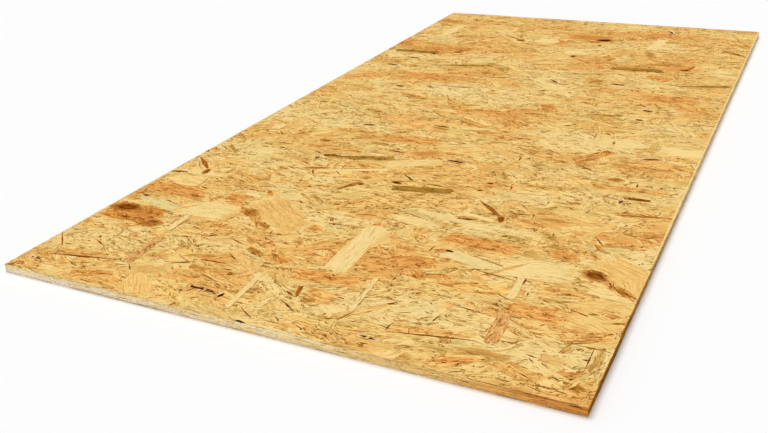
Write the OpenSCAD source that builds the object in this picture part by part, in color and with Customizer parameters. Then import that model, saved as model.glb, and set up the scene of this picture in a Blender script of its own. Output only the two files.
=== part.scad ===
// Oriented strand board panel: one square-sawn sheet of wood strands, pressed and glued flat.
// The sheet lies flat, with its width along X, its length along Y and its thickness along Z.
// The origin is the centre of the underside, and every size is in millimetres.

/* [Sheet] */
// Width, from one long sawn edge to the other
sheet_w = 1220; // [900:5:1260]
// Length, from one short sawn edge to the other
sheet_l = 2440; // [1800:5:3050]
// Thickness, from one pressed face to the other
sheet_t = 18; // [9:0.5:25]
// Bevel worn along every sawn arris
arris = 0.5; // [0.2:0.1:1.2]

/* [Gaps in the sawn edges] */
// Distance from one gap to the next along an edge
gap_pitch = 96; // [60:2:240]
// Length of the shortest gap
gap_short = 10; // [6:1:16]
// Length of the longest gap
gap_long = 36; // [18:1:44]
// Height of the thinnest gap
gap_thin = 0.7; // [0.4:0.1:0.9]
// Height of the tallest gap
gap_tall = 1.8; // [1:0.1:2.4]
// Depth of a gap, inward from the sawn edge
gap_deep = 7; // [2:0.5:12]
// Wood between the middle of a gap and the nearer pressed face
gap_cover = 2.4; // [1.8:0.1:4]
// Wood between the corners of the sheet and the first and last gap of an edge
gap_corner = 48; // [30:1:80]

/* [Split at the near right corner] */
// Length of the split along the short edge
split_long = 30; // [10:1:50]
// Height of the split where it opens widest
split_tall = 2.4; // [1:0.1:3]
// Depth of the split, inward from the short edge
split_deep = 14; // [4:1:25]
// Wood between the split and the long edge
split_side = 5; // [2:0.5:12]
// Wood between the split's middle and the upper face
split_cover = 3.2; // [2.6:0.1:5]

/* [Voids in the pressed faces] */
// Depth of a void, where the strands of a face leave an opening
void_deep = 1.4; // [0.6:0.1:2.5]
// Share of a void's length over which it keeps its full width
void_full = 0.45; // [0.2:0.05:0.8]

/* [Hidden] */

straw = [0.84, 0.68, 0.42];
spill = 1;

// The voids of the upper face, where strands that end side by side leave the sheet open
VOID_RIGHT = 0;
VOID_NEAR = 1;
VOID_LONG = 2;
VOID_WIDE = 3;
VOID_TURN = 4;
VOIDS = [
    // from the right edge, from the near edge, length, width, turn
    [562, 854, 64, 8, -6],
    [900, 1032, 50, 7, 12],
    [112, 1034, 56, 7, 12],
    [700, 1086, 56, 8, -4],
    [756, 72, 60, 6, -3],
    [396, 44, 36, 5, -6],
    [1180, 48, 36, 5, -6],
    [912, 756, 24, 6, 80],
    [124, 756, 24, 6, 80],
    [1116, 1626, 58, 9, -8],
    [334, 1630, 58, 9, -8],
    [530, 1604, 56, 6, -48],
    [980, 1402, 40, 9, -15],
    [196, 1404, 40, 9, -15],
    [1074, 2336, 28, 8, -75],
    [296, 2340, 36, 8, -70],
];

// The four sawn edges, each as its turn about Z, the sheet's size along it and its distance
// from the origin
EDGE_TURN = 0;
EDGE_ALONG = 1;
EDGE_OUT = 2;
EDGES = [
    [0, sheet_w, sheet_l / 2],
    [90, sheet_l, sheet_w / 2],
    [180, sheet_w, sheet_l / 2],
    [270, sheet_l, sheet_w / 2],
];

// Steps of three even but irregular sequences: place along the edge, place in the thickness, size
STEP_ALONG = 0.755;
STEP_LEVEL = 0.618;
STEP_SIZE = 0.414;
// Share of the pitch by which a gap may leave its even place
GAP_WANDER = 0.5;

// The fraction, from 0 to 1, that a sequence of the given step has at place i
function scatter(i, step) = i * step - floor(i * step);

// The value between low and high that a sequence has at place i
function between(low, high, i, step) = low + (high - low) * scatter(i, step);

// A rectangle with its four corners cut off, centred on the origin
module bevelled_outline(wide, high) {
    x = wide / 2;
    y = high / 2;
    polygon([
        [-x + arris, -y], [x - arris, -y], [x, -y + arris], [x, y - arris],
        [x - arris, y], [-x + arris, y], [-x, y - arris], [-x, -y + arris],
    ]);
}

// The sawn sheet before its openings: three bevelled outlines, one seen along each axis
module sawn_sheet() {
    translate([0, 0, sheet_t / 2])
        intersection() {
            linear_extrude(sheet_t, center = true) bevelled_outline(sheet_w, sheet_l);
            rotate([90, 0, 0])
                linear_extrude(sheet_l, center = true) bevelled_outline(sheet_w, sheet_t);
            rotate([90, 0, 90])
                linear_extrude(sheet_w, center = true) bevelled_outline(sheet_l, sheet_t);
        }
}

// The opening between strands as it shows on a sawn edge: a slender kite, widest off its middle
module gap_outline(long, tall) {
    polygon([
        [-long / 2, 0],
        [-long / 8, -tall / 2],
        [long / 2, 0],
        [long / 8, tall / 2],
    ]);
}

// A gap cut into the near short edge of a sheet that reaches out from the origin by out
module edge_gap(out, along, level, long, tall, deep) {
    translate([along, -out + deep, level])
        rotate([90, 0, 0])
            linear_extrude(deep + spill) gap_outline(long, tall);
}

// The gaps of one sawn edge, spread along it and through the thickness
module edge_gaps(edge, start) {
    run = edge[EDGE_ALONG] - 2 * gap_corner - gap_long;
    count = floor(run / gap_pitch);
    low = gap_cover;
    high = sheet_t - gap_cover;
    rotate(edge[EDGE_TURN])
        for (n = [0:count - 1]) {
            i = start + n;
            wander = gap_pitch * GAP_WANDER * (scatter(i, STEP_ALONG) - 0.5);
            edge_gap(
                edge[EDGE_OUT],
                -run / 2 + (n + 0.5) * run / count + wander,
                between(low, high, i, STEP_LEVEL),
                between(gap_short, gap_long, i, STEP_SIZE),
                between(gap_thin, gap_tall, i, STEP_SIZE),
                gap_deep
            );
        }
}

// The split that opens the short edge beside the near right corner, under the upper face
module corner_split() {
    edge_gap(
        sheet_l / 2,
        sheet_w / 2 - split_side - split_long / 2,
        sheet_t - split_cover,
        split_long,
        split_tall,
        split_deep
    );
}

// The outline of a void: parallel sides that run out to a point at both ends
module void_outline(long, wide) {
    side = long * void_full / 2;
    polygon([
        [-long / 2, 0], [-side, -wide / 2], [side, -wide / 2],
        [long / 2, 0], [side, wide / 2], [-side, wide / 2],
    ]);
}

// The voids of the upper face
module face_voids() {
    for (v = VOIDS)
        translate([sheet_w / 2 - v[VOID_RIGHT], v[VOID_NEAR] - sheet_l / 2, sheet_t - void_deep])
            rotate(v[VOID_TURN])
                linear_extrude(void_deep + spill) void_outline(v[VOID_LONG], v[VOID_WIDE]);
}

// The voids of the underside: the upper face's own, turned over about the sheet's length
module underside_voids() {
    translate([0, 0, sheet_t / 2])
        rotate([0, 180, 0])
            translate([0, 0, -sheet_t / 2]) face_voids();
}

// The sheet with every opening that its sawn edges and pressed faces have
module panel() {
    color(straw)
        difference() {
            sawn_sheet();
            for (side = [0:len(EDGES) - 1])
                edge_gaps(EDGES[side], side * len(EDGES));
            corner_split();
            face_voids();
            underside_voids();
        }
}

panel();
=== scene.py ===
"""Dresses an oriented strand board panel: a mat of pressed wood strands on each face of the sheet,
the sliced strands that show on its four sawn edges, and the wood behind them."""

import logging
import math
from dataclasses import dataclass, field
from enum import Enum
from typing import Callable

import bmesh
import bpy
import numpy as np
from mathutils import Matrix, Vector
from mathutils.bvhtree import BVHTree


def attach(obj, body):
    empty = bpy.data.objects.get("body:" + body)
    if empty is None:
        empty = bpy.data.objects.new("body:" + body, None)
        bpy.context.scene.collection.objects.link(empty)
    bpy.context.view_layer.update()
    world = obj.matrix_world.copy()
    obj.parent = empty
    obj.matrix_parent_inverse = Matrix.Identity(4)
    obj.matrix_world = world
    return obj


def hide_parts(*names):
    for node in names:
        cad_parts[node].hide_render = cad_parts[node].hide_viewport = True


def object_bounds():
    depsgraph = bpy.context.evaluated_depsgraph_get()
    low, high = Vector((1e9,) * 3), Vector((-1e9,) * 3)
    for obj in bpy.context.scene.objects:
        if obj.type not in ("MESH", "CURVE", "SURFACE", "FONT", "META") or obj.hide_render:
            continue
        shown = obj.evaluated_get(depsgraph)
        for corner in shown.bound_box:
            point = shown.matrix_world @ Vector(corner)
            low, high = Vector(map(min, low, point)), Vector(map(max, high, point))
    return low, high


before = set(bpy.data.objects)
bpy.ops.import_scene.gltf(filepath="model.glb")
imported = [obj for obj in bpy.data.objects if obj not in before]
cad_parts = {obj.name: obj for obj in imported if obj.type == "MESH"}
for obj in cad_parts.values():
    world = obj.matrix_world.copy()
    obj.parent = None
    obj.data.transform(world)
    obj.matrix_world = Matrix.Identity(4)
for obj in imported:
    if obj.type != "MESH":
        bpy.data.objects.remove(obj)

LOG = logging.getLogger("panel")
MM = 0.001
BAKE_MAP = "OFBake"
GRAIN_MAP = "grain"
TOUCHING = 0.01
CAD_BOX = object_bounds()


class Tone(Enum):
    """The colours of single strands, as sRGB numbers from 0 to 255."""

    IVORY = (242, 219, 150)
    CREAM = (242, 212, 139)
    PALE = (238, 202, 126)
    STRAW = (235, 192, 114)
    HONEY = (233, 182, 104)
    TAN = (229, 170, 93)
    ORANGE = (225, 158, 82)
    PINK = (220, 163, 94)
    GREY = (228, 205, 136)
    RUST = (208, 138, 64)
    OLIVE = (174, 129, 52)
    BROWN = (176, 112, 42)
    UMBER = (132, 68, 10)
    DARK = (72, 24, 4)
    VOID_SHADE = (92, 34, 10)
    # a painted highlight: the bright line along the sheet's upper arrises
    ARRIS_HIGHLIGHT = (255, 236, 180)
    SAWN = (248, 224, 172)
    MILK = (254, 248, 234)
    CHALK = (246, 232, 206)
    WHEAT = (232, 206, 154)
    DUN = (204, 168, 108)
    DUSK = (184, 136, 72)
    TOAST = (162, 104, 42)

    def linear(self) -> tuple[float, float, float]:
        """The colour in the linear numbers that shaders use."""
        return tuple(linear(part / 255) for part in self.value)

    @property
    def rgba(self) -> tuple[float, float, float, float]:
        """The linear colour as a shader's socket takes it."""
        return (*self.linear(), 1.0)


class Cut(Enum):
    """How a strand came off the log and broke, which gives it its outline."""

    PLANK = "plank"
    WEDGE = "wedge"
    CHIP = "chip"
    SLIVER = "sliver"
    KNOT = "knot"


def linear(part: float) -> float:
    """Turns one sRGB number into a linear one.

    Args:
        part: The sRGB number, from 0 to 1.

    Returns:
        The linear number, from 0 to 1.
    """
    return part / 12.92 if part <= 0.04045 else ((part + 0.055) / 1.055) ** 2.4


def deselect() -> None:
    """Leaves object mode's selection empty, so that an operator acts only on what it is given."""
    bpy.ops.object.select_all(action="DESELECT")


def take(piece: bpy.types.Object) -> None:
    """Makes one object the only selected one and the active one.

    Args:
        piece: The object that the next operators act on.
    """
    deselect()
    piece.select_set(True)
    bpy.context.view_layer.objects.active = piece


def pick(piece: bpy.types.Object, test: Callable[[bmesh.types.BMVert], bool]) -> None:
    """Selects, in edit mode, the vertices that pass a test.

    Args:
        piece: The object that is in edit mode.
        test: Says of a vertex whether it is selected.
    """
    shape = bmesh.from_edit_mesh(piece.data)
    for vertex in shape.verts:
        vertex.select = test(vertex)
    shape.select_flush(True)
    shape.select_flush(False)
    bmesh.update_edit_mesh(piece.data)


@dataclass(frozen=True)
class CutPlan:
    """How a strand's outline is modelled, in shares of its length and width."""

    along: int
    strips: int
    ragged: float
    wander: float
    near_end: float
    far_end: float
    copies: int


CUT_PLANS = {
    Cut.PLANK: CutPlan(along=2, strips=3, ragged=0.09, wander=0.05, near_end=0.95, far_end=0.9, copies=10),
    Cut.WEDGE: CutPlan(along=2, strips=2, ragged=0.10, wander=0.06, near_end=1.0, far_end=0.4, copies=8),
    Cut.CHIP: CutPlan(along=2, strips=2, ragged=0.16, wander=0.1, near_end=0.7, far_end=0.55, copies=8),
    Cut.SLIVER: CutPlan(along=2, strips=1, ragged=0.08, wander=0.16, near_end=0.25, far_end=0.15, copies=8),
}


@dataclass(frozen=True)
class CutShape:
    """One strand's solid, in shares of its length, width and thickness."""

    points: np.ndarray
    gaps: np.ndarray
    faces: tuple[tuple[int, ...], ...]
    walls: tuple[bool, ...]


@dataclass
class StrandCutter:
    """Models the few strand shapes that the whole sheet is laid from."""

    seed: int = 11
    lean: float = 0.4
    knot_sides: int = 10
    knot_heart: float = 0.5
    shapes: dict[Cut, list[CutShape]] = field(default_factory=dict)

    def cut_all(self) -> None:
        """Models every shape of every cut."""
        draw = np.random.default_rng(self.seed)
        for cut, plan in CUT_PLANS.items():
            self.shapes[cut] = [self.split_off(plan, draw) for _ in range(plan.copies)]
        self.shapes[Cut.KNOT] = [self.turn_knot()]

    def split_off(self, plan: CutPlan, draw: np.random.Generator) -> CutShape:
        """Models one long strand: a grid with ragged ends and wandering sides, given its thickness.

        Args:
            plan: How the outline is made.
            draw: Where the irregular numbers come from.

        Returns:
            The strand's solid.
        """
        deselect()
        bpy.ops.mesh.primitive_grid_add(x_subdivisions=plan.along, y_subdivisions=plan.strips, size=1)
        blank = bpy.context.object
        spots = [vertex.co for vertex in blank.data.vertices]
        gaps = [(0.5 - abs(spot.y) if plan.strips > 1 else 0.5, 0.5 - abs(spot.x)) for spot in spots]
        bpy.ops.object.mode_set(mode="EDIT")
        bpy.ops.mesh.select_mode(type="VERT")
        for end, share in ((-0.5, plan.near_end), (0.5, plan.far_end)):
            aside = draw.uniform(-self.lean, self.lean) * (1 - share)
            pick(blank, lambda vertex: abs(vertex.co.x - end) < TOUCHING)
            bpy.ops.transform.resize(value=(1, share, 1), center_override=(end, aside, 0))
        rim = [v.index for v in bmesh.from_edit_mesh(blank.data).verts if v.is_boundary]
        for index in rim:
            at = bmesh.from_edit_mesh(blank.data).verts
            at.ensure_lookup_table()
            inward = -math.copysign(draw.uniform(0, plan.ragged), at[index].co.x)
            is_end = abs(at[index].co.x) > 0.5 - TOUCHING
            pick(blank, lambda vertex: vertex.index == index)
            if is_end:
                bpy.ops.transform.translate(value=(inward, 0, 0))
            else:
                bpy.ops.transform.translate(value=(0, draw.uniform(-1, 1) * plan.wander, 0))
        return self.thicken(blank, gaps)

    def turn_knot(self) -> CutShape:
        """Models a knot: a disc with an inset heart, given its thickness.

        Returns:
            The knot's solid.
        """
        deselect()
        bpy.ops.mesh.primitive_circle_add(vertices=self.knot_sides, radius=0.5, fill_type="NGON")
        blank = bpy.context.object
        bpy.ops.object.mode_set(mode="EDIT")
        bpy.ops.mesh.select_all(action="SELECT")
        bpy.ops.mesh.inset(thickness=0.5 * (1 - self.knot_heart))
        bpy.ops.object.mode_set(mode="OBJECT")
        gaps = [(0.5 - vertex.co.length,) * 2 for vertex in blank.data.vertices]
        bpy.ops.object.mode_set(mode="EDIT")
        return self.thicken(blank, gaps)

    def thicken(self, blank: bpy.types.Object, gaps: list[tuple[float, float]]) -> CutShape:
        """Extrudes a flat blank to its thickness, reads its solid and clears the blank away.

        Args:
            blank: The flat strand, in edit mode.
            gaps: How far each of its vertices is from the long sides and from the ends.

        Returns:
            The strand's solid.
        """
        shape = bmesh.from_edit_mesh(blank.data)
        mark = shape.verts.layers.int.new("blank")
        for vertex in shape.verts:
            vertex[mark] = vertex.index
        bmesh.update_edit_mesh(blank.data)
        bpy.ops.mesh.select_all(action="SELECT")
        bpy.ops.mesh.extrude_region_move(TRANSFORM_OT_translate={"value": (0, 0, 1)})
        bpy.ops.mesh.select_all(action="SELECT")
        bpy.ops.mesh.normals_make_consistent(inside=False)
        bpy.ops.object.mode_set(mode="OBJECT")
        points = np.array([vertex.co[:] for vertex in blank.data.vertices])
        marks = [entry.value for entry in blank.data.attributes["blank"].data]
        order = sorted(blank.data.polygons, key=lambda face: face.center.z)
        faces = tuple(tuple(face.vertices) for face in order)
        walls = tuple(abs(face.normal.z) < 0.5 for face in order)
        stock = blank.data
        bpy.data.objects.remove(blank)
        bpy.data.meshes.remove(stock)
        return CutShape(points, np.array(gaps)[marks], faces, walls)


@dataclass
class Strand:
    """One strand as it lies on a side of the sheet, in millimetres and degrees.

    A strand with no tone of its own takes that of its place, made warmer or paler by warmth. Figure
    says how strongly its growth rings show, crisp how sharp its outline is and how dark the painted
    shade at its edges is, and shade how much darker than its tone it is.
    """

    x: float
    y: float
    long: float
    wide: float
    turn: float
    tone: Tone | None = None
    cut: Cut = Cut.PLANK
    figure: float = 0.5
    crisp: float = 0.3
    warmth: float = 0.0
    shade: float = 0.0
    heart: Tone | None = None
    top: float = 0.0


@dataclass(frozen=True)
class Side:
    """One of the sheet's six sides, with its own axes: along, across and out of the sheet."""

    name: str
    along: tuple[int, int, int]
    across: tuple[int, int, int]

    @property
    def out(self) -> Vector:
        """The direction out of the sheet."""
        return Vector(self.along).cross(Vector(self.across))

    def half(self, axis: Vector) -> float:
        """Half of the CAD sheet's size along an axis, in millimetres."""
        low, high = CAD_BOX
        return abs((high - low).dot(axis)) / 2 / MM

    def halves(self) -> tuple[float, float]:
        """Half of this side's size along and across, in millimetres."""
        return self.half(Vector(self.along)), self.half(Vector(self.across))

    def matrix(self) -> np.ndarray:
        """Works out how places on this side turn into places in the frame.

        Returns:
            The rows that turn (along, across, out, 1), in millimetres, into metres.
        """
        low, high = CAD_BOX
        middle = (low + high) / 2 + self.out * self.half(self.out) * MM
        rows = [Vector(self.along) * MM, Vector(self.across) * MM, self.out * MM, middle]
        return np.array([row[:] for row in rows])

    def place(self, points: np.ndarray) -> np.ndarray:
        """Turns points on this side into points in the frame.

        Args:
            points: Rows of (along, across, out) in millimetres, with out zero on the CAD side.

        Returns:
            Rows of (x, y, z) in metres.
        """
        rows = self.matrix()
        return points @ rows[:3] + rows[3]


UPPER = Side("upper_face", (1, 0, 0), (0, 1, 0))
UNDER = Side("underside", (-1, 0, 0), (0, 1, 0))
NEAR = Side("near_edge", (1, 0, 0), (0, 0, 1))
RIGHT = Side("right_edge", (0, 1, 0), (0, 0, 1))
FAR = Side("far_edge", (-1, 0, 0), (0, 0, 1))
LEFT = Side("left_edge", (0, -1, 0), (0, 0, 1))


class Openings:
    """Finds the voids and gaps that the CAD sheet has open on its sides."""

    reach = 5.0
    shallow = 0.6
    deepest_void = 3.0

    def __init__(self, node: bpy.types.Object) -> None:
        """Reads the sheet.

        Args:
            node: The CAD node.
        """
        self.node = node
        self.tree = BVHTree.FromObject(node, bpy.context.evaluated_depsgraph_get())

    def are_open(self, side: Side, places: np.ndarray) -> np.ndarray:
        """Says which of several places on a side lie over a void or a gap.

        Args:
            side: The side of the sheet.
            places: Rows of (along, across) in millimetres.

        Returns:
            True for each place where the sheet is open.
        """
        starts = side.place(np.column_stack([places, np.full(len(places), self.reach)]))
        inward, limit = -side.out, (self.reach + self.shallow) * MM
        hits = (self.tree.ray_cast(Vector(start), inward) for start in starts)
        return np.array([hit[0] is None or hit[3] > limit for hit in hits], bool)

    def voids(self, side: Side) -> list[tuple[float, float, float, float, float]]:
        """Lists the voids of a pressed face.

        Args:
            side: The pressed face.

        Returns:
            The middle, length, width and turn of each void, in millimetres and degrees.
        """
        rows = side.matrix()
        corners = np.array([vertex.co[:] for vertex in self.node.data.vertices])
        local = (corners - rows[3]) @ rows[:3].T / MM / MM
        floors: list[np.ndarray] = []
        for face in self.node.data.polygons:
            points = local[list(face.vertices)]
            if np.ptp(points[:, 2]) > TOUCHING or not -self.deepest_void < points[0, 2] < -self.shallow:
                continue
            touching = [floor for floor in floors if self.touch(floor, points)]
            floors = [floor for floor in floors if not self.touch(floor, points)]
            floors.append(np.vstack([*touching, points]))
        return [self.measure(floor[:, :2]) for floor in floors]

    @staticmethod
    def touch(first: np.ndarray, second: np.ndarray) -> bool:
        """Says whether two sets of points share a point."""
        return bool((np.abs(first[:, None, :2] - second[None, :, :2]).max(2) < TOUCHING).any())

    @staticmethod
    def measure(points: np.ndarray) -> tuple[float, float, float, float, float]:
        """Measures a long flat shape.

        Args:
            points: Its corners.

        Returns:
            Its middle, length, width and turn.
        """
        spans = points[:, None] - points[None]
        first, second = np.unravel_index(np.hypot(*spans.transpose(2, 0, 1)).argmax(), (len(points),) * 2)
        axis = points[first] - points[second]
        long = float(np.hypot(*axis))
        wide = float(np.ptp(points @ np.array([-axis[1], axis[0]])) / long)
        x, y = (points[first] + points[second]) / 2
        turn = math.degrees(math.atan2(axis[1], axis[0]))
        return float(x), float(y), long, wide, (turn + 90) % 180 - 90


Stops = tuple[tuple[float, Tone], ...]

LADDER: Stops = (
    (-0.2, Tone.IVORY), (0.0, Tone.CREAM), (0.25, Tone.PALE), (0.5, Tone.STRAW), (0.75, Tone.HONEY),
    (1.0, Tone.TAN), (1.3, Tone.ORANGE), (1.8, Tone.RUST),
)


def between(stops: Stops, values: np.ndarray) -> np.ndarray:
    """Reads the colours between stops.

    Args:
        stops: The stops, each a value and its tone.
        values: The values to read.

    Returns:
        Rows of three linear numbers.
    """
    steps = [step for step, _ in stops]
    tones = np.array([tone.linear() for _, tone in stops])
    return np.column_stack([np.interp(values, steps, tones[:, part]) for part in range(3)])


@dataclass
class FaceTones:
    """How warm the wood of a pressed face is from place to place, from cream to rust."""

    places: tuple[tuple[int, int, int, int, float], ...] = ()
    seed: int = 3
    waves: int = 26
    shortest: float = 110.0
    longest: float = 420.0
    usual: float = 0.5
    swing: float = 0.22

    def __post_init__(self) -> None:
        """Draws the slow waves that the wood's warmth follows."""
        draw = np.random.default_rng(self.seed)
        lengths = draw.uniform(self.shortest, self.longest, self.waves)
        turns = draw.normal(math.pi / 2, 0.7, self.waves)
        self.steps = np.column_stack([np.cos(turns), np.sin(turns)]) * (2 * math.pi / lengths)[:, None]
        self.starts = draw.uniform(0, 2 * math.pi, self.waves)

    def warmth(self, places: np.ndarray) -> np.ndarray:
        """Works out how warm the wood is.

        Args:
            places: Rows of (along, across) in millimetres.

        Returns:
            The warmth at each place, where 0 is cream and 1 is tan.
        """
        waves = np.cos(places @ self.steps.T + self.starts).sum(1) * math.sqrt(2 / self.waves)
        warmth = self.usual + self.swing * waves
        for x, y, reach_x, reach_y, more in self.places:
            away = ((places[:, 0] - x) / reach_x) ** 2 + ((places[:, 1] - y) / reach_y) ** 2
            warmth += more * np.exp(-away)
        return warmth

    def colours(self, places: np.ndarray, warmer: np.ndarray | float = 0.0) -> np.ndarray:
        """Works out the linear colours of wood at several places.

        Args:
            places: Rows of (along, across) in millimetres.
            warmer: How much warmer each one is than its place.

        Returns:
            Rows of three linear numbers.
        """
        return between(LADDER, self.warmth(places) + warmer)


@dataclass
class EdgeTones:
    """The colours along a sawn edge, from stops at chosen places under its upper arris and below."""

    upper: Stops
    lower: Stops
    border: float = 2.0
    blend: float = 2.0

    def colours(self, places: np.ndarray, warmer: np.ndarray | float = 0.0) -> np.ndarray:
        """Works out the linear colours of sliced strands at several places.

        Args:
            places: Rows of (along, across) in millimetres.
            warmer: How much darker each one is than its place.

        Returns:
            Rows of three linear numbers.
        """
        upper, lower = (between(stops, places[:, 0]) for stops in (self.upper, self.lower))
        share = np.clip((places[:, 1:2] - self.border) / self.blend, 0, 1)
        darker = np.asarray(warmer)[..., None] * np.array([1.0, 1.3, 1.7])
        return (upper * share + lower * (1 - share)) * np.clip(1 - darker, 0.1, 1.25)


@dataclass
class StrandMat:
    """Strands laid on one side of the sheet, each one resting on those laid before it."""

    side: Side
    openings: Openings
    cell_long: float = 5.0
    cell_wide: float = 5.0
    relief: float = 0.8
    ceiling: float = 22.0
    margin: float = 0.05
    brink: float = 1.0
    risky_cells: int = 3
    pace: float = 0.8
    end_inset: float = 1.0
    side_inset: float = 0.5
    thinnest: float = 0.2
    strands: list[Strand] = field(default_factory=list)

    def __post_init__(self) -> None:
        """Clears the maps of the mat and marks the cells that have an opening near them."""
        self.half_long, self.half_wide = self.side.halves()
        self.columns = int(2 * self.half_long / self.cell_long) + 1
        self.rows = int(2 * self.half_wide / self.cell_wide) + 1
        self.height = np.zeros((self.columns, self.rows))
        self.kept = np.zeros((self.columns, self.rows), bool)
        along = (np.arange(self.columns) + 0.5) * self.cell_long - self.half_long
        across = (np.arange(self.rows) + 0.5) * self.cell_wide - self.half_wide
        along = np.minimum(along, self.half_long - self.brink)
        across = np.minimum(across, self.half_wide - self.brink)
        a, b = np.meshgrid(along, across, indexing="ij")
        is_open = self.openings.are_open(self.side, np.column_stack([a.ravel(), b.ravel()]))
        self.near_opening = self.spread(is_open.reshape(a.shape), self.risky_cells)

    @staticmethod
    def spread(marks: np.ndarray, cells: int) -> np.ndarray:
        """Widens marked cells each way.

        Args:
            marks: The cells that are marked.
            cells: By how many cells they widen.

        Returns:
            The marks, widened.
        """
        wide = marks.copy()
        for column in range(-cells, cells + 1):
            for row in range(-cells, cells + 1):
                wide |= np.roll(marks, (column, row), (0, 1))
        return wide

    def cells(self, strand: Strand) -> tuple[np.ndarray, np.ndarray, np.ndarray]:
        """Samples a strand's area.

        Args:
            strand: The strand.

        Returns:
            The sample points in millimetres, and the columns and rows of the cells they are in.
        """
        count_long = int(strand.long / self.cell_long / self.pace) + 2
        count_wide = int(strand.wide / min(self.cell_long, self.cell_wide) / self.pace) + 2
        along = np.linspace(-0.5, 0.5, count_long) * (strand.long - self.end_inset)
        across = np.linspace(-0.5, 0.5, count_wide) * max(strand.wide - self.side_inset, self.thinnest)
        a, b = (part.ravel() for part in np.meshgrid(along, across))
        turn = math.radians(strand.turn)
        x = strand.x + a * math.cos(turn) - b * math.sin(turn)
        y = strand.y + a * math.sin(turn) + b * math.cos(turn)
        inside = (abs(x) < self.half_long) & (abs(y) < self.half_wide)
        x, y = x[inside], y[inside]
        column = ((x + self.half_long) / self.cell_long).astype(int)
        row = ((y + self.half_wide) / self.cell_wide).astype(int)
        return np.column_stack([x, y]), column, row

    def covers_opening(self, points: np.ndarray, risky: np.ndarray) -> bool:
        """Says whether a strand would lie over an opening.

        Args:
            points: The strand's sample points.
            risky: Which of them have an opening near them.

        Returns:
            True if any point is over an opening.
        """
        return bool(risky.any()) and bool(self.openings.are_open(self.side, points[risky]).any())

    def bed(self, strand: Strand, top: float) -> None:
        """Lays one strand of the first course, unless it would close an opening.

        Args:
            strand: The strand.
            top: How high it lies, in layers.
        """
        points, column, row = self.cells(strand)
        if len(column) > 1 and not self.covers_opening(points, self.near_opening[column, row]):
            self.height[column, row] = np.maximum(self.height[column, row], top)
            strand.top = top
            self.strands.append(strand)

    def lay(self, strand: Strand, step: float = 1.0, keep: bool = False, spare: float = 0.25,
            force: bool = False, bridge: bool = False) -> None:
        """Lays one strand on the mat, unless it would close an opening or hide what is kept.

        Args:
            strand: The strand.
            step: How far it rises over what it lies on, in layers.
            keep: Whether later strands have to leave it in sight.
            spare: The share of the strand that may lie on kept ones.
            force: Lays it over kept strands and above the ceiling too.
            bridge: Lays it over an opening too.
        """
        points, column, row = self.cells(strand)
        if len(column) < 2:
            return
        top = self.height[column, row].max() + step
        if not force and (top > self.ceiling or self.kept[column, row].mean() > spare):
            return
        if not bridge and self.covers_opening(points, self.near_opening[column, row]):
            return
        self.height[column, row] = top
        if keep:
            self.kept[column, row] = True
        strand.top = top
        self.strands.append(strand)


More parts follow.
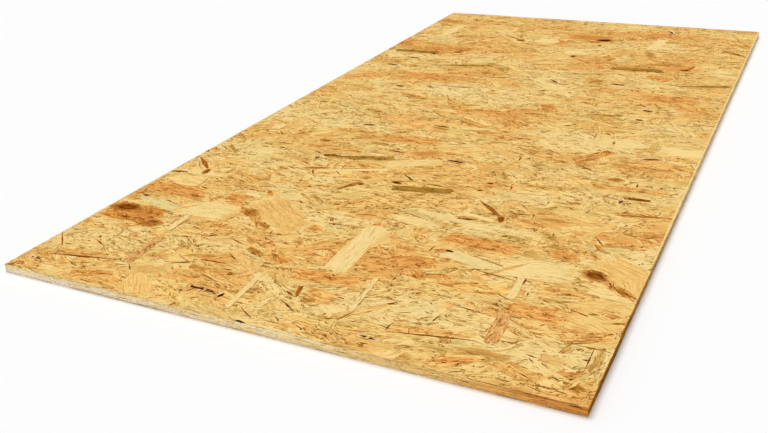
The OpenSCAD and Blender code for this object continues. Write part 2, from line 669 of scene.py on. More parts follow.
@dataclass
class MatBuilder:
    """Turns laid strands into joined meshes, with the colour, grain and bake map of each strand."""

    cutter: StrandCutter
    tones: FaceTones | EdgeTones
    seed: int = 5
    thickness: float = 0.55
    bevel: float = 0.55
    bevel_share: float = 0.18
    brightness: float = 0.07
    hue: float = 0.006
    heart: float = 0.4
    grain_range: float = 4000.0

    def build(self, name: str, mat: StrandMat, strands: list[Strand]) -> bpy.types.Object:
        """Joins strands into one piece.

        Args:
            name: The piece's name.
            mat: The mat that they lie on.
            strands: The strands, in the order they were laid.

        Returns:
            The finished object, at the origin.
        """
        draw = np.random.default_rng(self.seed)
        lift = mat.relief / max(strand.top for strand in mat.strands)
        edge = np.array([mat.half_long, mat.half_wide]) - mat.margin
        points, gaps, faces, walls, grains, flats, tones, figures, crisps = ([] for _ in range(9))
        start = 0
        for strand in strands:
            shapes = self.cutter.shapes[strand.cut]
            shape = shapes[draw.integers(len(shapes))]
            flip = draw.choice([-1.0, 1.0], 2)
            local = shape.points.copy()
            local[:, :2] *= flip
            bevel = min(self.bevel, self.bevel_share * strand.wide)
            flat = local[:, :2] * (np.array([strand.long, strand.wide]) - 2 * bevel * local[:, 2:])
            turn = math.radians(strand.turn)
            spin = np.array([[math.cos(turn), math.sin(turn)], [-math.sin(turn), math.cos(turn)]])
            plan = np.clip(flat @ spin + (strand.x, strand.y), -edge, edge)
            out = strand.top * lift - mat.relief - self.thickness * (1 - local[:, 2])
            points.append(np.column_stack([plan, out]))
            gaps.append(shape.gaps * (strand.wide, strand.long))
            grain = flat + draw.uniform(0, self.grain_range, 2)
            for face, wall in zip(shape.faces, shape.walls):
                corners = list(face[::-1]) if flip[0] * flip[1] < 0 else list(face)
                faces.append([start + corner for corner in corners])
                grains.append(grain[corners])
                flats.append(plan[corners])
                walls.append(wall and not np.isclose(abs(plan[corners]), edge).all(0).any())
            tones.append(self.own_tones(strand, plan, local, draw))
            figures.append(np.full(len(local), strand.figure))
            crisps.append(np.full(len(local), strand.crisp))
            start += len(local)
        places = np.concatenate(points)
        mesh = bpy.data.meshes.new(name)
        mesh.from_pydata(mat.side.place(places), [], faces)
        self.write_maps(mesh, np.concatenate(grains), np.concatenate(flats))
        edges = np.column_stack([np.concatenate(gaps), np.concatenate(crisps)])
        self.write_attribute(mesh, "edges", "FLOAT_VECTOR", "vector", edges)
        self.write_attribute(mesh, "figure", "FLOAT", "value", np.concatenate(figures))
        self.write_colours(mesh, "tone", np.concatenate(tones))
        self.write_colours(mesh, "ground", self.tones.colours(places[:, :2]))
        # rim marks the strand walls that the material darkens as painted shade
        rim = mesh.attributes.new("rim", "FLOAT", "FACE")
        rim.data.foreach_set("value", np.array(walls, np.float32))
        piece = bpy.data.objects.new(name, mesh)
        bpy.context.scene.collection.objects.link(piece)
        return piece

    def own_tones(self, strand: Strand, plan: np.ndarray, local: np.ndarray,
                  draw: np.random.Generator) -> np.ndarray:
        """Works out the colour of each of a strand's vertices.

        Args:
            strand: The strand.
            plan: Where its vertices lie on the side.
            local: The same vertices in shares of the strand's size.
            draw: Where the irregular numbers come from.

        Returns:
            Rows of three linear numbers.
        """
        if strand.tone is None:
            colour = self.tones.colours(plan[:1], strand.warmth)
        else:
            colour = np.array([strand.tone.linear()])
        swing = self.brightness if strand.tone is None else self.brightness / 2
        shade = (draw.normal(0, swing) - strand.shade) * np.array([1.0, 1.3, 1.8])
        colour = colour * np.clip(1 + shade + draw.normal(0, self.hue, 3), 0.1, 1.2)
        tones = np.repeat(colour, len(plan), 0)
        if strand.heart is not None:
            tones[np.hypot(*local[:, :2].T) < self.heart] = strand.heart.linear()
        return tones

    def write_maps(self, mesh: bpy.types.Mesh, grain: np.ndarray, flat: np.ndarray) -> None:
        """Writes the map that the grain follows, in millimetres, and the flat map of the side.

        Args:
            mesh: The mesh.
            grain: The place of each face corner along and across its strand.
            flat: The place of each face corner along and across the side.
        """
        low, high = flat.min(0), flat.max(0)
        for name, rows in ((GRAIN_MAP, grain), (BAKE_MAP, (flat - low) / (high - low))):
            layer = mesh.uv_layers.new(name=name, do_init=False)
            layer.uv.foreach_set("vector", rows.astype(np.float32).ravel())

    def write_attribute(self, mesh: bpy.types.Mesh, name: str, kind: str, part: str,
                        values: np.ndarray) -> None:
        """Writes one value for each vertex.

        Args:
            mesh: The mesh.
            name: The attribute's name.
            kind: Its data type.
            part: What Blender calls the value itself.
            values: The values.
        """
        attribute = mesh.attributes.new(name, kind, "POINT")
        attribute.data.foreach_set(part, values.astype(np.float32).ravel())

    def write_colours(self, mesh: bpy.types.Mesh, name: str, rows: np.ndarray) -> None:
        """Writes one linear colour for each vertex."""
        rgba = np.column_stack([np.clip(rows, 0, 1), np.ones(len(rows))])
        self.write_attribute(mesh, name, "FLOAT_COLOR", "color", rgba)


class NodeSheet:
    """Adds and links the nodes of one material."""

    def __init__(self, name: str) -> None:
        """Starts a material with only its output.

        Args:
            name: The material's name.
        """
        self.material = bpy.data.materials.new(name)
        self.material.use_nodes = True
        self.tree = self.material.node_tree
        self.tree.nodes.clear()
        self.output = self.tree.nodes.new("ShaderNodeOutputMaterial")

    def add(self, kind: str, inputs: dict[str | int, object] | None = None,
            **settings: object) -> bpy.types.Node:
        """Adds a node.

        Args:
            kind: The node's type, without the word ShaderNode.
            inputs: What each input gets: a socket to link, or a value.
            **settings: The node's own settings.

        Returns:
            The node.
        """
        node = self.tree.nodes.new("ShaderNode" + kind)
        for key, value in settings.items():
            setattr(node, key, value)
        for key, value in (inputs or {}).items():
            if isinstance(value, bpy.types.NodeSocket):
                self.tree.links.new(value, node.inputs[key])
            else:
                node.inputs[key].default_value = value
        return node

    def math(self, operation: str, *values: object) -> bpy.types.NodeSocket:
        """Adds a Math node and returns its result."""
        return self.add("Math", dict(enumerate(values)), operation=operation).outputs[0]

    def product(self, *values: object) -> bpy.types.NodeSocket:
        """Multiplies several values.

        Args:
            *values: The values, each a number or a socket.

        Returns:
            The socket of their product.
        """
        result = values[0]
        for value in values[1:]:
            result = self.math("MULTIPLY", result, value)
        return result

    def mix(self, share: object, first: object, second: object, blend: str = "MIX") -> bpy.types.NodeSocket:
        """Mixes two colours.

        Args:
            share: The share of the second colour.
            first: The first colour.
            second: The second colour.
            blend: How they are blended.

        Returns:
            The mixed colour.
        """
        inputs = {0: share, 6: first, 7: second}
        return self.add("Mix", inputs, data_type="RGBA", blend_type=blend).outputs[2]

    def ramp(self, value: object, low: object, high: object, start: float = 0.0,
             end: float = 1.0) -> bpy.types.NodeSocket:
        """Maps a value from one range to another, smoothly and within its limits.

        Args:
            value: The value.
            low: Where the first range starts.
            high: Where it ends.
            start: What low becomes.
            end: What high becomes.

        Returns:
            The mapped value.
        """
        inputs = {0: value, 1: low, 2: high, 3: start, 4: end}
        return self.add("MapRange", inputs, interpolation_type="SMOOTHSTEP").outputs[0]

    def noise(self, where: object, stretch: tuple[float, float, float], detail: float = 2.0,
              roughness: float = 0.5, distortion: float = 0.0) -> bpy.types.NodeSocket:
        """Adds a noise on stretched coordinates.

        Args:
            where: The coordinates.
            stretch: The number of features per unit along each axis.
            detail: How many finer layers it has.
            roughness: How strong the finer layers are.
            distortion: How much it is warped.

        Returns:
            The noise, from 0 to 1.
        """
        scaled = self.add("Mapping", {"Vector": where, "Scale": stretch})
        node = self.add("TexNoise", {"Vector": scaled.outputs[0], "Scale": 1.0, "Detail": detail,
                                     "Roughness": roughness, "Distortion": distortion})
        return node.outputs["Fac"]

    def coat(self, colour: object, roughness: object, height: bpy.types.NodeSocket | None = None,
             strength: float = 0.0, distance: float = 0.0) -> bpy.types.Material:
        """Ends the material in a shader with no sheen.

        Args:
            colour: Its colour.
            roughness: Its roughness.
            height: What raises its surface, if anything does.
            strength: How strongly that shows.
            distance: How high it rises, in metres.

        Returns:
            The material.
        """
        inputs = {"Base Color": colour, "Roughness": roughness, "Specular IOR Level": 0.0}
        if height is not None:
            bump = self.add("Bump", {"Strength": strength, "Distance": distance, "Height": height})
            inputs["Normal"] = bump.outputs[0]
        shader = self.add("BsdfPrincipled", inputs)
        self.tree.links.new(shader.outputs[0], self.output.inputs[0])
        return self.material


Colour = tuple[float, float, float, float]


@dataclass(frozen=True)
class Grain:
    """One layer of streaks: how many it has per unit, and what it multiplies the colour by."""

    stretch: tuple[float, float, float]
    low: float
    high: float
    dark: Colour
    light: Colour
    detail: float = 2.0
    roughness: float = 0.5

    def lay(self, sheet: NodeSheet, where: bpy.types.NodeSocket, colour: bpy.types.NodeSocket,
            strength: object = 1.0) -> tuple[bpy.types.NodeSocket, bpy.types.NodeSocket]:
        """Multiplies a colour by the streaks.

        Args:
            sheet: The material's nodes.
            where: The coordinates that the streaks follow.
            colour: The colour so far.
            strength: How much of the streaks' effect there is.

        Returns:
            The colour, and the noise that the streaks are made of.
        """
        value = sheet.noise(where, self.stretch, self.detail, self.roughness)
        share = sheet.ramp(value, self.low, self.high)
        return sheet.mix(strength, colour, sheet.mix(share, self.dark, self.light), "MULTIPLY"), value


@dataclass(frozen=True)
class Crack:
    """One layer of thin dark lines, broken into stretches, each with a raised pale lip that is a painted
    highlight.
    """

    stretch: tuple[float, float, float]
    thin: float
    thick: float
    breaks: tuple[float, float, float]
    low: float
    high: float
    dark: Colour
    lip_highlight: Colour = (1.1, 1.18, 1.3, 1)
    lip_step: float = 0.05

    def lay(self, sheet: NodeSheet, where: bpy.types.NodeSocket, colour: bpy.types.NodeSocket,
            strength: object = 1.0) -> bpy.types.NodeSocket:
        """Draws the lines along the level lines of a noise.

        Args:
            sheet: The material's nodes.
            where: The coordinates that the lines follow.
            colour: The colour so far.
            strength: How dark the lines are.

        Returns:
            The colour.
        """
        veins = sheet.math("SUBTRACT", sheet.noise(where, self.stretch, 2), 0.5)
        beside = sheet.math("SUBTRACT", veins, self.lip_step)
        line, lip_highlight = (sheet.ramp(sheet.math("ABSOLUTE", part), self.thin, self.thick, 1, 0)
                     for part in (veins, beside))
        stretches = sheet.ramp(sheet.noise(where, self.breaks, 1), self.low, self.high)
        # the lip is a painted highlight beside each line
        colour = sheet.mix(sheet.product(lip_highlight, stretches), colour, self.lip_highlight, "MULTIPLY")
        return sheet.mix(sheet.product(line, stretches, strength), colour, self.dark, "MULTIPLY")


@dataclass(frozen=True)
class StrandFinish:
    """The look of pressed strands: growth rings and fibres along each one, cracks, and painted shade along
    the outline and walls.
    """

    name: str = "pressed_strands"
    streaks: Grain = Grain((0.014, 0.26, 1), 0.32, 0.52, (0.82, 0.76, 0.66, 1), (1.06, 1.09, 1.13, 1))
    fibres: Grain = Grain((0.04, 0.8, 1), 0.32, 0.56, (0.75, 0.67, 0.53, 1), (1.13, 1.19, 1.28, 1), 3, 0.7)
    mottle: Grain = Grain((0.03, 0.07, 1), 0.33, 0.56, (0.7, 0.59, 0.44, 1), (1.13, 1.2, 1.29, 1), 4, 0.75)
    ticks: Grain = Grain((0.06, 0.3, 1), 0.64, 0.7, (1, 1, 1, 1), (0.48, 0.29, 0.08, 1), 1)
    specks: Grain = Grain((0.035, 0.12, 1), 0.66, 0.7, (1, 1, 1, 1), (0.36, 0.2, 0.04, 1), 2)
    cracks: Crack = Crack((0.018, 0.12, 1), 0.004, 0.024, (0.022, 0.05, 1), 0.5, 0.6, (0.44, 0.27, 0.08, 1))
    flakes: Crack = Crack((0.045, 0.1, 1), 0.008, 0.045, (0.035, 0.06, 1), 0.5, 0.58, (0.42, 0.26, 0.07, 1))
    rings: tuple[float, float, float] = (0.005, 0.13, 1)
    ring_colour: Colour = (0.78, 0.62, 0.44, 1)
    ring_share: float = 0.7
    plain_marks: float = 0.15
    outline: tuple[float, float, float] = (0.04, 0.04, 1)
    outline_wide: float = 2.4
    outline_shade_share: float = 0.8
    rim_shade_share: float = 0.8
    soft_edge: float = 9.0
    waves: tuple[float, float, float] = (0.02, 0.02, 1)
    waviness: float = 24.0
    brightest: Colour = (0.95, 0.69, 0.295, 1)
    roughness: tuple[float, float] = (0.75, 0.9)
    bump: float = 0.35
    bump_height: float = 0.00015

    def material(self) -> bpy.types.Material:
        """Builds the material.

        Returns:
            The material, which reads each strand's own map and attributes.
        """
        sheet = NodeSheet(self.name)
        grain = self.bend(sheet, sheet.add("UVMap", uv_map=GRAIN_MAP).outputs[0])
        ragged = sheet.noise(grain, self.streaks.stretch, self.streaks.detail)
        colour = self.draw_rings(sheet, self.lay_tones(sheet, ragged), grain)
        colour, streaks = self.streaks.lay(sheet, grain, colour)
        colour, fibres = self.fibres.lay(sheet, grain, colour)
        marked = sheet.ramp(self.attribute(sheet, "figure", "Fac"), 0.1, 0.5, self.plain_marks, 1.0)
        for marks in (self.mottle, self.ticks, self.specks):
            colour, _ = marks.lay(sheet, grain, colour, marked)
        for lines in (self.cracks, self.flakes):
            colour = lines.lay(sheet, grain, colour, marked)
        colour = sheet.mix(1.0, colour, self.brightest, "DARKEN")
        colour = self.draw_outline_shade(sheet, colour, grain)
        rough = sheet.ramp(fibres, 0.3, 0.7, *self.roughness)
        height = sheet.math("ADD", fibres, streaks)
        return sheet.coat(colour, rough, height, self.bump, self.bump_height)

    def bend(self, sheet: NodeSheet, grain: bpy.types.NodeSocket) -> bpy.types.NodeSocket:
        """Makes the grain wave a little across each strand.

        Args:
            sheet: The material's nodes.
            grain: The strand's own map.

        Returns:
            The map with the waves in it.
        """
        wave = sheet.math("SUBTRACT", sheet.noise(grain, self.waves, detail=1), 0.5)
        offset = sheet.add("CombineXYZ", {1: sheet.product(wave, self.waviness)})
        return sheet.add("VectorMath", {0: grain, 1: offset.outputs[0]}, operation="ADD").outputs[0]

    def attribute(self, sheet: NodeSheet, name: str, output: str) -> bpy.types.NodeSocket:
        """Reads one of the piece's attributes."""
        return sheet.add("Attribute", attribute_name=name).outputs[output]

    def edges(self, sheet: NodeSheet) -> tuple[bpy.types.NodeSocket, ...]:
        """Reads how far a point is from its strand's sides and ends, and how crisp the strand is."""
        parts = sheet.add("SeparateXYZ", {0: self.attribute(sheet, "edges", "Vector")})
        return tuple(parts.outputs)

    def lay_tones(self, sheet: NodeSheet, streaks: bpy.types.NodeSocket) -> bpy.types.NodeSocket:
        """Fades a strand's own tone, as a stain, into the tone of its place near soft edges.

        Args:
            sheet: The material's nodes.
            streaks: The streaks along the grain.

        Returns:
            The colour.
        """
        side, end, crisp = self.edges(sheet)
        tone = self.attribute(sheet, "tone", "Color")
        ground = self.attribute(sheet, "ground", "Color")
        reach = sheet.math("MINIMUM", side, sheet.product(end, 0.35))
        ragged = sheet.math("MULTIPLY_ADD", sheet.math("SUBTRACT", streaks, 0.56), self.soft_edge * 4, reach)
        soft = sheet.ramp(ragged, 0.0, self.soft_edge * 0.6)
        own = sheet.math("MAXIMUM", soft, sheet.ramp(crisp, 0.2, 0.6))
        stain_and_rim_shade = sheet.add("Gamma", {0: sheet.mix(1.0, tone, ground, "DIVIDE"), 1: own})
        return sheet.mix(1.0, ground, stain_and_rim_shade.outputs[0], "MULTIPLY")

    def draw_rings(self, sheet: NodeSheet, colour: bpy.types.NodeSocket,
                   grain: bpy.types.NodeSocket) -> bpy.types.NodeSocket:
        """Draws the growth rings, as strongly as each strand's figure says.

        Args:
            sheet: The material's nodes.
            colour: The colour so far.
            grain: The strand's own map.

        Returns:
            The colour.
        """
        rings = sheet.noise(grain, self.rings, detail=3)
        figure = self.attribute(sheet, "figure", "Fac")
        share = sheet.product(sheet.ramp(rings, 0.44, 0.58), figure, self.ring_share)
        return sheet.mix(share, colour, self.ring_colour, "MULTIPLY")

    def draw_outline_shade(self, sheet: NodeSheet, colour: bpy.types.NodeSocket,
                     grain: bpy.types.NodeSocket) -> bpy.types.NodeSocket:
        """Darkens a strand's rim, all of it on the crispest, and stretches of a crisp outline: painted shade
        at the strand's edges.

        Args:
            sheet: The material's nodes.
            colour: The colour so far.
            grain: The strand's own map.

        Returns:
            The colour.
        """
        side, end, crisp = self.edges(sheet)
        # painted shade: UMBER along stretches of the outline and on the strand walls
        line = sheet.ramp(sheet.math("MINIMUM", side, end), 0.4, self.outline_wide, 1, 0)
        stretch = sheet.ramp(sheet.noise(grain, self.outline, detail=1), 0.48, 0.58)
        share = sheet.product(line, stretch, sheet.ramp(crisp, 0.4, 1), self.outline_shade_share)
        colour = sheet.mix(share, colour, Tone.UMBER.rgba)
        rim = self.attribute(sheet, "rim", "Fac")
        stretch = sheet.math("MAXIMUM", stretch, sheet.ramp(crisp, 0.76, 0.79))
        rim_shade_share = sheet.product(rim, stretch, sheet.ramp(crisp, 0, 1, 0.3, 1), self.rim_shade_share)
        return sheet.mix(rim_shade_share, colour, Tone.UMBER.rgba)


@dataclass(frozen=True)
class CoreFinish:
    """The look of the wood behind the outer strands, with painted shade where an opening reaches into it.

    Its sawn sides are pale, and darker towards the near right corner.
    """

    streaks: tuple[float, float, float] = (12, 260, 600)
    patches: tuple[float, float, float] = (30, 60, 400)
    dark_x: tuple[float, float] = (0.0, 0.6)
    dark_y: tuple[float, float] = (-0.3, -1.1)
    roughness: float = 0.9
    bump: float = 0.4
    bump_height: float = 0.0003

    def material(self) -> bpy.types.Material:
        """Builds the material.

        Returns:
            The material, on the piece's own coordinates.
        """
        sheet = NodeSheet("inner_wood")
        place = sheet.add("TexCoord").outputs["Object"]
        inside = sheet.add("Attribute", attribute_name="inside").outputs["Fac"]
        streaks = sheet.noise(place, self.streaks, detail=3, roughness=0.6)
        patches = sheet.noise(place, self.patches, detail=2)
        x, y, _ = sheet.add("SeparateXYZ", {0: place}).outputs
        darker = sheet.product(sheet.ramp(x, *self.dark_x), sheet.ramp(y, *self.dark_y))
        pale = sheet.mix(patches, Tone.SAWN.rgba, Tone.PALE.rgba)
        dark = sheet.mix(patches, Tone.TAN.rgba, Tone.RUST.rgba)
        wood = sheet.mix(darker, pale, dark)
        wood = sheet.mix(sheet.ramp(streaks, 0.5, 0.75, 0, 0.7), wood, Tone.DUSK.rgba)
        # painted shade on the faces that line voids and gaps
        void_lining_shade = sheet.mix(streaks, Tone.DARK.rgba, Tone.UMBER.rgba)
        colour = sheet.mix(inside, wood, void_lining_shade)
        return sheet.coat(colour, self.roughness, streaks, self.bump, self.bump_height)


def dress(piece: bpy.types.Object, finish: bpy.types.Material) -> None:
    """Gives a finished piece its material and its body, and hides the CAD node that it stands for.

    Args:
        piece: The piece.
        finish: Its material.
    """
    piece.data.materials.clear()
    piece.data.materials.append(finish)
    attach(piece, "root")
    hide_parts("panel")
    LOG.info("%s: %d faces", piece.name, len(piece.data.polygons))


def build_bays(mat: StrandMat, builder: MatBuilder, finish: bpy.types.Material, kind: str, axis: str,
               bays: int) -> None:
    """Joins the strands of each bay of a side into a piece.

    Args:
        mat: The mat on that side.
        builder: What makes the meshes.
        finish: The strands' material.
        kind: What the pieces are made of.
        axis: The strands' axis that the bays follow one another along, x or y.
        bays: How many pieces there are.
    """
    reach = mat.half_long if axis == "x" else mat.half_wide
    bay = 2 * reach / bays
    for index in range(bays):
        low = -reach + index * bay
        places = (np.clip(getattr(strand, axis), 1 - reach, reach - 1) for strand in mat.strands)
        within = [strand for place, strand in zip(places, mat.strands) if low <= place < low + bay]
        dress(builder.build(f"{mat.side.name}_{kind}_{index + 1}", mat, within), finish)


# Where the upper face is warmer or paler than usual: middle, reach along and across, and how much
WARM_PLACES = (
    (-520, 1060, 130, 30, 0.35), (-210, 1080, 110, 40, 0.25), (300, 1060, 120, 40, 0.3),
    (560, 1000, 60, 40, 0.3), (-540, 640, 90, 60, 0.25), (430, 660, 60, 60, 0.4),
    (-330, 660, 50, 60, 0.4), (230, 600, 110, 70, 0.25), (-240, 460, 120, 40, 0.25),
    (-340, 300, 110, 50, 0.6), (440, 310, 80, 50, 0.6), (-560, 420, 60, 60, 0.3),
    (-540, 200, 60, 80, 0.25), (560, 220, 60, 90, 0.25), (0, 20, 100, 34, 0.5),
    (90, -70, 70, 100, 0.35), (60, -300, 100, 110, 0.3), (-110, -262, 90, 34, 0.5),
    (-310, -262, 90, 14, 0.3), (-330, -400, 100, 26, 0.35), (440, -400, 90, 26, 0.35),
    (60, -460, 100, 60, 0.35), (90, -620, 130, 50, 0.25), (-30, -930, 90, 50, 0.35),
    (120, -940, 80, 34, 0.4), (60, -1020, 100, 26, 0.4), (-220, -1040, 100, 44, 0.25),
    (560, -1030, 60, 40, 0.3), (-400, -1180, 60, 30, 0.3), (390, -1180, 60, 30, 0.3),
    (0, 900, 900, 460, 0.12), (-100, 190, 170, 80, -0.4), (70, 370, 60, 90, -0.5),
    (-430, -130, 150, 80, -0.35), (330, -150, 150, 90, -0.4), (40, 740, 60, 30, -0.4),
    (-130, 930, 60, 60, -0.3),
    (-480, -1050, 90, 60, -0.35), (330, -1060, 90, 60, -0.35), (-330, -540, 90, 60, -0.3),
    (250, -700, 90, 26, -0.5), (-200, -690, 60, 26, -0.4), (500, -1150, 80, 50, -0.3),
)

# The strands that stand out on the upper face, each as the first nine values of a Strand
KEY_STRANDS = (
    (-526, -919, 190, 96, -4, Tone.RUST, Cut.PLANK, 1.0, 0.0),
    (70, -456, 110, 84, 4, Tone.HONEY, Cut.PLANK, 0.5, 0.1),
    (134, -616, 130, 66, 0, Tone.HONEY, Cut.PLANK, 0.6, 0.1),
    (-10, -640, 130, 60, -6, Tone.HONEY, Cut.PLANK, 0.5, 0.1),
    (40, -560, 166, 30, 11, Tone.OLIVE, Cut.PLANK, 0.9, 0.7),
    (62, -524, 50, 12, 4, Tone.OLIVE, Cut.SLIVER, 0.4, 0.6),
    (-66, -780, 176, 40, 8, Tone.PALE, Cut.PLANK, 0.5, 0.5),
    (-90, -836, 66, 36, -10, Tone.ORANGE, Cut.CHIP, 0.8, 0.0),
    (-34, -900, 120, 46, 36, Tone.TAN, Cut.WEDGE, 0.6, 0.2),
    (-62, -940, 80, 44, 40, Tone.TAN, Cut.CHIP, 0.4, 0.2),
    (-150, -978, 60, 22, -25, Tone.BROWN, Cut.CHIP, 0.8, 0.4),
    (42, -1018, 176, 54, 8, Tone.ORANGE, Cut.PLANK, 0.8, 0.0),
    (38, -884, 226, 56, -88, Tone.CREAM, Cut.PLANK, 0.0, 0.4),
    (-206, -1030, 110, 46, 28, Tone.TAN, Cut.WEDGE, 0.9, 0.3),
    (-206, -1046, 74, 6, 4, Tone.UMBER, Cut.SLIVER, 0.3, 0.8),
    (-138, -1078, 92, 20, 20, Tone.TAN, Cut.WEDGE, 0.8, 0.4),
    (-150, -1018, 116, 24, -30, Tone.HONEY, Cut.PLANK, 0.2, 0.5),
    (68, -1084, 100, 56, -5, Tone.TAN, Cut.CHIP, 0.5, 0.0),
    (-14, -1096, 190, 30, -28, Tone.PALE, Cut.PLANK, 0.5, 0.8),
    (20, -1084, 46, 10, -72, Tone.UMBER, Cut.WEDGE, 1.0, 0.4),
    (8, -1098, 30, 9, -24, Tone.UMBER, Cut.SLIVER, 1.0, 0.4),
    (54, -1108, 34, 16, 20, Tone.BROWN, Cut.CHIP, 1.0, 0.5),
    (-80, -1118, 156, 14, -85, Tone.CREAM, Cut.PLANK, 0.2, 0.8),
    (140, -1050, 150, 12, -85, Tone.CREAM, Cut.PLANK, 0.2, 0.9),
    (112, -932, 80, 50, 5, Tone.ORANGE, Cut.CHIP, 0.7, 0.0),
    (202, -950, 60, 40, -50, Tone.RUST, Cut.CHIP, 0.7, 0.1),
    (238, -976, 150, 40, -5, Tone.STRAW, Cut.PLANK, 0.5, 0.5),
    (560, -1034, 100, 34, 24, Tone.TAN, Cut.WEDGE, 0.8, 0.5),
    (578, -1062, 60, 6, 0, Tone.BROWN, Cut.SLIVER, 0.3, 0.8),
    (-120, -262, 180, 56, 5, Tone.ORANGE, Cut.PLANK, 0.8, 0.4),
    (-190, -316, 54, 20, 0, Tone.OLIVE, Cut.CHIP, 0.3, 0.5),
    (-134, -600, 76, 16, 60, Tone.BROWN, Cut.WEDGE, 0.5, 0.5),
    (-234, -706, 66, 38, 0, Tone.GREY, Cut.CHIP, 0.2, 0.3),
    (-18, -732, 54, 10, 14, Tone.BROWN, Cut.SLIVER, 0.4, 0.7),
    (-166, -696, 62, 24, -30, Tone.OLIVE, Cut.CHIP, 0.7, 0.3),
    (126, -760, 50, 44, 60, Tone.ORANGE, Cut.CHIP, 0.5, 0.0),
    (278, -700, 190, 28, 3, Tone.CREAM, Cut.WEDGE, 0.3, 0.4),
    (550, -524, 130, 10, 12, Tone.BROWN, Cut.SLIVER, 0.3, 0.7),
    (-266, -528, 76, 12, 16, Tone.BROWN, Cut.SLIVER, 0.3, 0.7),
    (-170, -508, 196, 16, 22, Tone.CREAM, Cut.PLANK, 0.2, 0.7),
    (474, -476, 106, 18, -45, Tone.CREAM, Cut.PLANK, 0.2, 0.6),
    (-186, -424, 200, 24, 15, Tone.OLIVE, Cut.WEDGE, 0.8, 0.5),
    (-50, -416, 160, 50, 26, Tone.PALE, Cut.PLANK, 0.2, 0.4),
    (54, 962, 190, 76, 2, Tone.RUST, Cut.PLANK, 0.2, 0.2),
    (-168, 230, 66, 14, 10, Tone.OLIVE, Cut.SLIVER, 0.4, 0.6),
    (-34, 24, 166, 36, 8, Tone.ORANGE, Cut.PLANK, 0.9, 0.0),
    (90, -40, 120, 60, -40, Tone.TAN, Cut.PLANK, 0.6, 0.0),
    (94, 324, 100, 58, -20, Tone.CREAM, Cut.CHIP, 0.1, 0.3),
    (46, 732, 76, 42, 8, Tone.IVORY, Cut.CHIP, 0.1, 0.4),
    (-90, 868, 96, 80, 30, Tone.CREAM, Cut.CHIP, 0.1, 0.2),
    (30, 828, 120, 22, 0, Tone.TAN, Cut.WEDGE, 0.7, 0.3),
    (-82, 1080, 96, 30, 86, Tone.ORANGE, Cut.PLANK, 0.4, 0.3),
    (226, 996, 136, 26, 86, Tone.TAN, Cut.PLANK, 0.4, 0.3),
    (310, 108, 116, 16, 10, Tone.OLIVE, Cut.WEDGE, 0.4, 0.5),
    (92, 650, 90, 10, -36, Tone.BROWN, Cut.SLIVER, 0.4, 0.7),
    (80, 384, 60, 12, -48, Tone.UMBER, Cut.SLIVER, 0.3, 0.7),
    (-82, 70, 70, 14, 14, Tone.OLIVE, Cut.SLIVER, 0.3, 0.6),
    (-86, -150, 70, 14, -8, Tone.OLIVE, Cut.SLIVER, 0.3, 0.6),
)

# How far to the right of a twin strand its second copy lies
TWIN_STEP = 788

# The strands that stand out twice on the upper face, as above
TWIN_STRANDS = (
    (-518, -772, 200, 58, -4, Tone.ORANGE, Cut.PLANK, 1.0, 0.2),
    (-510, -848, 150, 36, -14, Tone.GREY, Cut.WEDGE, 0.2, 0.7),
    (-372, -840, 150, 80, 4, Tone.CREAM, Cut.PLANK, 0.2, 0.2),
    (-196, -800, 220, 88, -33, Tone.HONEY, Cut.PLANK, 0.2, 0.3),
    (-344, -762, 100, 50, -5, Tone.ORANGE, Cut.CHIP, 0.6, 0.0),
    (-238, -842, 96, 28, -46, Tone.TAN, Cut.WEDGE, 0.8, 0.2),
    (-206, -862, 70, 24, -38, Tone.BROWN, Cut.CHIP, 1.0, 0.3),
    (-304, -902, 130, 32, 8, Tone.TAN, Cut.WEDGE, 0.9, 0.1),
    (-394, -920, 90, 18, -86, Tone.CREAM, Cut.PLANK, 0.2, 0.9),
    (-436, -1052, 104, 54, -8, Tone.PALE, Cut.PLANK, 0.4, 0.95),
    (-378, -1056, 126, 26, -86, Tone.PINK, Cut.PLANK, 0.4, 0.6),
    (-482, -1118, 166, 30, 12, Tone.TAN, Cut.WEDGE, 0.7, 0.4),
    (-478, -1130, 160, 6, 12, Tone.UMBER, Cut.SLIVER, 0.4, 0.8),
    (-408, -1180, 100, 34, 26, Tone.ORANGE, Cut.WEDGE, 0.8, 0.1),
    (-430, -850, 96, 10, 48, Tone.TAN, Cut.SLIVER, 0.3, 0.8),
    (-298, -254, 180, 34, 0, Tone.TAN, Cut.PLANK, 0.9, 0.1),
    (-298, -390, 200, 38, 2, Tone.TAN, Cut.PLANK, 0.9, 0.1),
    (-558, -604, 112, 14, -42, Tone.BROWN, Cut.SLIVER, 0.4, 0.7),
    (-588, -672, 54, 10, 12, Tone.UMBER, Cut.SLIVER, 0.3, 0.7),
    (-290, -704, 44, 16, -40, Tone.RUST, Cut.SLIVER, 0.4, 0.7),
    (-398, -512, 40, 14, 0, Tone.RUST, Cut.CHIP, 0.4, 0.5),
    (-490, 592, 180, 34, 4, Tone.OLIVE, Cut.PLANK, 1.0, 0.8),
    (-218, 876, 130, 16, -33, Tone.BROWN, Cut.SLIVER, 0.4, 0.6),
    (-490, 932, 170, 40, 86, Tone.CREAM, Cut.PLANK, 0.1, 0.5),
    (-258, 468, 180, 22, 15, Tone.OLIVE, Cut.WEDGE, 0.8, 0.5),
    (-330, 308, 170, 70, 6, Tone.ORANGE, Cut.PLANK, 0.8, 0.0),
    (-334, 650, 90, 14, 68, Tone.BROWN, Cut.SLIVER, 0.4, 0.6),
    (-506, 406, 66, 18, -10, Tone.UMBER, Cut.SLIVER, 0.4, 0.6),
    (-374, 180, 60, 20, -8, Tone.UMBER, Cut.CHIP, 0.4, 0.5),
    (-300, -190, 66, 12, 0, Tone.OLIVE, Cut.SLIVER, 0.4, 0.6),
    (-270, -440, 60, 16, 4, Tone.UMBER, Cut.CHIP, 0.4, 0.5),
)

